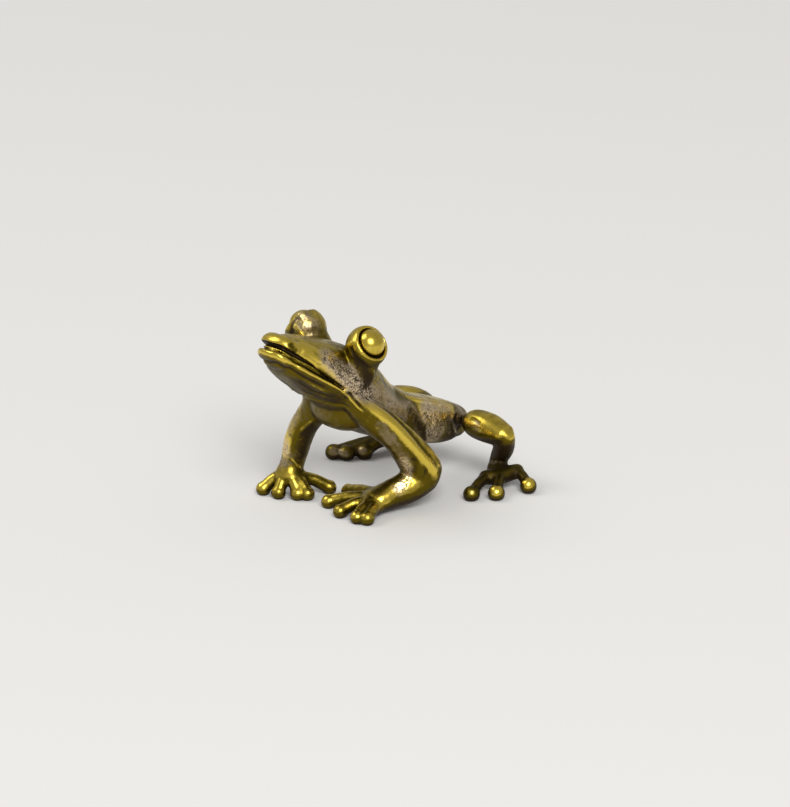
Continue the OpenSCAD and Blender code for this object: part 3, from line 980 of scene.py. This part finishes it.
def block(name, low, high, turn=(0, 0, 0), pivot=(0, 0, 0)):
    """A box between two corners, turned about a pivot."""
    low, high = Vector(low), Vector(high)
    bpy.ops.object.select_all(action="DESELECT")
    bpy.ops.mesh.primitive_cube_add(size=1, location=(0, 0, 0))
    ob = bpy.context.object
    ob.name = name
    scale = Matrix.Diagonal((*(high - low), 1))
    ob.data.transform(Matrix.Translation((low + high) / 2) @ scale)
    x, y, z = (Matrix.Rotation(angle, 4, axis) for angle, axis in zip(turn, "XYZ"))
    ob.data.transform(Matrix.Translation(pivot) @ (z @ y @ x))
    return ob


def combined(a, b, operation):
    """The first block after the operation with the second, which is used up."""
    boolean(a, b, operation)
    removed(b)
    return a


def outward_of(x, side):
    """From a plane to far out on the left side, 1, or the right side, -1."""
    return (x, FAR) if side > 0 else (-FAR, x)


def jaw_cell():
    slope = math.atan2(MOUTH_TIP.z - MOUTH_END.z, MOUTH_END.y - MOUTH_TIP.y)
    under = block("jaw_cell", (-FAR, -FAR, -FAR), (FAR, FAR, 0),
                  turn=(-slope, 0, 0), pivot=MOUTH_END)
    front = block("front", (-FAR, -FAR, JAW_LOW_Z), (FAR, JAW_BACK_Y, FAR))
    return combined(under, front, "INTERSECT")


def arm_cell(side):
    low_x, high_x = outward_of(0, side)
    outer = block("arm_cell", (low_x, -FAR, -FAR), (high_x, FAR, FAR),
                  turn=(0, side * SHOULDER_LEAN, -side * SHOULDER_TURN),
                  pivot=(MIDDLE_X + side * SHOULDER.x, SHOULDER.y, SHOULDER.z))
    band = block("band", (-FAR, -FAR, ELBOW_Z - MM), (FAR, HAUNCH_Y, SHOULDER_TOP))
    combined(outer, band, "INTERSECT")
    low_x, high_x = outward_of(BETWEEN_HANDS_X, side)
    hand = block("hand", (low_x, -FAR, -FAR), (high_x, HAUNCH_Y, ELBOW_Z))
    return combined(outer, hand, "UNION")


def leg_cell(side, low, high):
    low_x, high_x = outward_of(MIDDLE_X + side * HIP_OUT, side)
    return block("leg_cell", (low_x, HAUNCH_Y, low), (high_x, FAR, high))


def cells():
    """The cell of each piece but the body."""
    out = {"lower_jaw": jaw_cell()}
    for side, word in ((1, "left"), (-1, "right")):
        out[f"{word}_foreleg"] = arm_cell(side)
        out[f"{word}_thigh"] = leg_cell(side, KNEE_Z, FAR)
        out[f"{word}_shank"] = leg_cell(side, ANKLE_Z, KNEE_Z)
        out[f"{word}_hind_foot"] = leg_cell(side, -FAR, ANKLE_Z)
    return out


class FROG_OT_part_pieces(bpy.types.Operator):
    """Cut the skin into its pieces at the creases, flat at the soles"""
    bl_idname = "frog.part_pieces"
    bl_label = "Part pieces"

    def execute(self, context):
        skin = bpy.data.objects["skin"]
        fine_skin = copied(skin, "fine_skin")
        modified(skin, "DECIMATE", ratio=sizes().kept)
        combined(skin, block("under_floor", (-FAR, -FAR, -FAR), (FAR, FAR, 0)), "DIFFERENCE")
        body = copied(skin, "body_skin")
        made = {"body": body}
        for name, cell in cells().items():
            piece = copied(skin, f"{name}_skin")
            boolean(piece, cell, "INTERSECT")
            boolean(body, cell, "DIFFERENCE")
            removed(cell)
            made[name] = piece
        for name, piece in made.items():
            if not piece.data.polygons:
                raise RuntimeError(f"{name} came out empty")
            without_crumbs(piece)
        layers_carried(fine_skin, made.values())
        select_only(fine_skin)
        bpy.ops.object.shade_smooth()
        for name, piece in made.items():
            piece.vertex_groups.clear()
            select_only(piece)
            bpy.ops.object.shade_smooth_by_angle(angle=SKIN_SHARP)
            modified(piece, "DATA_TRANSFER", object=fine_skin, use_loop_data=True,
                     data_types_loops={"CUSTOM_NORMAL"}, loop_mapping="POLYINTERP_NEAREST")
            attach(piece, "root")
            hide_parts(name)
        removed(skin, fine_skin)
        return {"FINISHED"}


class FROG_OT_model_eyes(bpy.types.Operator):
    """Set a domed bead in each ringed socket"""
    bl_idname = "frog.model_eyes"
    bl_label = "Model eyes"

    def execute(self, context):
        for name in EYE_NODES:
            bead = copied(frame["nodes"][name], f"{name}_bead")
            merged(bead)
            remeshed(bead, BEAD_GRAIN)
            smoothed(bead, BEAD_ROUNDS)
            co = points_of(bead)
            around = np.array(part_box(name)).mean(0)
            side = np.sign(around[0] - MIDDLE_X)
            axis = np.array(EYE_AXIS) * (side, 1, 1)
            rise = (co - around) @ axis
            flat = co - around - rise[:, None] * axis
            lean = np.array(BEAD_LEAN) * (side, 1, 1) * MM
            set_points(bead, co + flat * BEAD_WIDENED + lean - lean @ axis * axis)
            # Darker where the bead sinks into its groove, patina together with painted shade, and
            # a little polished above
            low_down = np.clip((0.35 * MM - rise) / (0.4 * MM), 0, 1)
            stored(bead, "crust", low_down * 1.2 - 0.3)
            for layer in LAYERS[1:]:
                stored(bead, layer, np.zeros(len(co)))
            select_only(bead)
            bpy.ops.object.shade_smooth_by_angle(angle=BEAD_SHARP)
            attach(bead, "root")
            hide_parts(name)
        return {"FINISHED"}


class Wire:
    """A socket of a material that takes part in sums."""

    def __init__(self, paint, socket):
        self.paint = paint
        self.socket = socket

    def math(self, operation, *values):
        return self.paint.node("ShaderNodeMath", {"operation": operation}, *values)

    def __add__(self, other):
        return self.math("ADD", self, other)

    def __radd__(self, other):
        return self.math("ADD", other, self)

    def __sub__(self, other):
        return self.math("SUBTRACT", self, other)

    def __rsub__(self, other):
        return self.math("SUBTRACT", other, self)

    def __mul__(self, other):
        return self.math("MULTIPLY", self, other)

    def __rmul__(self, other):
        return self.math("MULTIPLY", other, self)

    def between(self, low, high):
        """Rises smoothly from 0 at low to 1 at high."""
        smooth = {"interpolation_type": "SMOOTHSTEP"}
        return self.paint.node("ShaderNodeMapRange", smooth, self, low, high)


class Paint:
    """A material's nodes."""

    def __init__(self, name):
        self.material = bpy.data.materials.new(name)
        self.material.use_nodes = True
        self.tree = self.material.node_tree
        self.shader = self.tree.nodes["Principled BSDF"]

    def node(self, kind, settings=None, *values, out=0, **named):
        """Adds a node, feeds its sockets in order or by name, and gives its output."""
        node = self.tree.nodes.new(kind)
        for key, value in (settings or {}).items():
            setattr(node, key, value)
        for key, value in (*enumerate(values), *named.items()):
            self.feed(node.inputs[key], value)
        return Wire(self, node.outputs[out])

    def feed(self, socket, value):
        if isinstance(value, Wire):
            self.tree.links.new(value.socket, socket)
        else:
            socket.default_value = value

    def attribute(self, name):
        return self.node("ShaderNodeAttribute", {"attribute_name": name}, out="Fac")

    def noise(self, place, scale, detail=2.0, rough=0.5):
        return self.node("ShaderNodeTexNoise", Vector=place, Scale=scale, Detail=detail,
                         Roughness=rough)

    def mixed(self, share, a, b):
        node = self.tree.nodes.new("ShaderNodeMix")
        node.data_type = "RGBA"
        self.feed(node.inputs["Factor"], share)
        colours = [s for s in node.inputs if s.type == "RGBA"]
        for socket, value in zip(colours, (a, b)):
            self.feed(socket, value if isinstance(value, Wire) else (*value, 1))
        return Wire(self, next(s for s in node.outputs if s.type == "RGBA"))

    def set(self, **sockets):
        for key, value in sockets.items():
            self.feed(self.shader.inputs[key.replace("_", " ")], value)


def brass(name):
    """Brass that is polished on its high places and crusted brown in its hollows, with painted
    shade on sheltered and down-facing places and painted highlights on some ridges and patches.
    """
    colours = bpy.context.scene.frog_colours
    paint = Paint(name)
    place = paint.node("ShaderNodeTexCoord", out="Object")
    cloud = paint.noise(place, CLOUD_SCALE, 3.0)
    grain = paint.noise(place, GRAIN_SCALE, 3.0, 0.6)
    stipple = paint.noise(place, STIPPLE_SCALE, 2.0, 0.65)
    speck = paint.noise(place, SPECK_SCALE, 2.0, 0.6)
    fine = paint.attribute("fine_hollow")
    pitting = paint.attribute("pitting")
    # Patina in the hollows together with painted shade from shelter, from surfaces that face down
    # and from the shade painted into the crust
    depth = (paint.attribute("shelter") * 0.8 + paint.attribute("broad_hollow") * 0.45
             + paint.attribute("crust") * 0.5 + paint.attribute("underside") * 0.9)
    mottle = (cloud - 0.5) * 0.9 + (grain - 0.5) * 0.6
    dull_and_shaded = (depth + mottle * 0.8 + fine * 0.15).between(-0.3, 0.32)
    grime_and_shade = (depth + fine * 0.35 + mottle * 0.8 + (speck - 0.5) * 0.3).between(0.52, 1.25)
    rough_patch = (pitting + (cloud - 0.5) * 0.9 + (grain - 0.5) * 0.5).between(0.15, 1.1)
    pit_depth = stipple + fine * 0.1 + (grain - 0.5) * 0.3 + depth * 0.12 + rough_patch * 0.2
    pits = pit_depth.between(0.6, 0.82) * rough_patch
    # Polish and painted highlight on the bare brass, olive where it is dulled and where shade is
    # painted, a painted silvery sheen on the pitted patches, and patina with painted shade darkest
    base = paint.mixed(dull_and_shaded, tuple(colours.polished), tuple(colours.olive))
    base = paint.mixed(rough_patch * (1 - grime_and_shade) * 0.85, base, tuple(colours.silver))
    dark = grime_and_shade.math("MAXIMUM", grime_and_shade, pits * 0.93)
    base = paint.mixed(dark, base, tuple(colours.patina))
    paint.set(Base_Color=base)
    paint.set(Roughness=0.27 + dull_and_shaded * 0.1 + dark * 0.2 + (grain - 0.5) * 0.2)
    paint.set(Metallic=1 - dark * 0.1)
    height = (0.5 - stipple) * rough_patch * 1.6 + grain * (dull_and_shaded * 0.5 + 0.25) + cloud * 0.4
    bump = paint.node("ShaderNodeBump", Strength=0.6, Distance=BUMP_DEPTH, Height=height)
    paint.set(Normal=bump)
    return paint.material


class FROG_OT_finish_brass(bpy.types.Operator):
    """Give every piece its brass"""
    bl_idname = "frog.finish_brass"
    bl_label = "Finish brass"

    def execute(self, context):
        finishes = {"_skin": (brass("worn_brass"), "brass"),
                    "_bead": (brass("bead_brass"), "eye_brass")}
        for ob in context.scene.objects:
            for ending, (material, slot) in finishes.items():
                if ob.name.endswith(ending):
                    ob.data.materials.clear()
                    ob.data.materials.append(material)
        return {"FINISHED"}


def lamp(name, offset, size, power):
    """A square soft lamp that looks at the frog from its place in the photograph's view."""
    data = bpy.data.lights.new(name, "AREA")
    data.shape = "SQUARE"
    data.size = size
    data.energy = power
    back, right, up = view_axes()
    centre = Vector(STAGE_CENTRE)
    place = centre + back * offset[0] + right * offset[1] + up * offset[2]
    ob = bpy.data.objects.new(name, data)
    ob.location = place
    ob.rotation_euler = (centre - place).to_track_quat("-Z", "Y").to_euler()
    bpy.context.scene.collection.objects.link(ob)


class FROG_OT_set_stage(bpy.types.Operator):
    """Lay the pale floor, hang the soft lamps and place the camera as in the photograph"""
    bl_idname = "frog.set_stage"
    bl_label = "Set stage"

    def execute(self, context):
        values = context.scene.frog_stage
        bpy.ops.object.select_all(action="DESELECT")
        bpy.ops.mesh.primitive_plane_add(size=FLOOR_SIZE, location=(0, 0, FLOOR_Z))
        floor = context.object
        floor.name = "floor"
        floor.data.transform(floor.matrix_world)
        floor.matrix_world = Matrix.Identity(4)
        paint = Paint("floor_paint")
        paint.set(Base_Color=(*values.floor, 1), Roughness=0.9)
        floor.data.materials.append(paint.material)

        lamp("key_lamp", KEY_PLACE, KEY_SIZE, values.key)
        lamp("side_lamp", SIDE_PLACE, SIDE_SIZE, values.side)

        world = bpy.data.worlds.new("studio")
        world.use_nodes = True
        ground = world.node_tree.nodes["Background"]
        ground.inputs["Color"].default_value = SKY_COLOUR
        ground.inputs["Strength"].default_value = values.sky
        context.scene.world = world

        data = bpy.data.cameras.new("camera")
        data.sensor_fit = "HORIZONTAL"
        data.sensor_width = SENSOR_MM
        data.lens = data.sensor_width * VIEW_DISTANCE / (PHOTO_WIDTH / PIXELS_PER_MM * MM)
        data.clip_start = 0.01
        data.clip_end = 20
        camera = bpy.data.objects.new("camera", data)
        back, right, up = view_axes()
        turn = Matrix((right, up, back)).transposed().to_4x4()
        camera.matrix_world = Matrix.Translation(camera_place()) @ turn
        context.scene.collection.objects.link(camera)
        context.scene.camera = camera
        context.scene.view_settings.view_transform = "Standard"
        return {"FINISHED"}


STEPS = (FROG_OT_model_skin, FROG_OT_carve_lines, FROG_OT_wear_skin, FROG_OT_part_pieces,
         FROG_OT_model_eyes, FROG_OT_finish_brass, FROG_OT_set_stage)


class FROG_PT_steps(bpy.types.Panel):
    """The steps that make the frog, in order"""
    bl_idname = "FROG_PT_steps"
    bl_label = "Brass frog"
    bl_space_type = "VIEW_3D"
    bl_region_type = "UI"
    bl_category = "Frog"

    def draw(self, context):
        scene = context.scene
        for group in (scene.frog_skin, scene.frog_colours, scene.frog_stage):
            box = self.layout.box()
            for name in group.__annotations__:
                box.prop(group, name)
        for step in STEPS:
            self.layout.operator(step.bl_idname)


GROUPS = (FrogSkinSizes, FrogBrassColours, FrogStageValues)


def register():
    for cls in (*GROUPS, *STEPS, FROG_PT_steps):
        bpy.utils.register_class(cls)
    bpy.types.Scene.frog_skin = PointerProperty(type=FrogSkinSizes)
    bpy.types.Scene.frog_colours = PointerProperty(type=FrogBrassColours)
    bpy.types.Scene.frog_stage = PointerProperty(type=FrogStageValues)


def unregister():
    del bpy.types.Scene.frog_stage
    del bpy.types.Scene.frog_colours
    del bpy.types.Scene.frog_skin
    for cls in reversed((*GROUPS, *STEPS, FROG_PT_steps)):
        bpy.utils.unregister_class(cls)


def main():
    register()
    bpy.ops.frog.model_skin()
    bpy.ops.frog.carve_lines()
    bpy.ops.frog.wear_skin()
    bpy.ops.frog.part_pieces()
    bpy.ops.frog.model_eyes()
    bpy.ops.frog.finish_brass()
    bpy.ops.frog.set_stage()


if __name__ == "__main__":
    main()
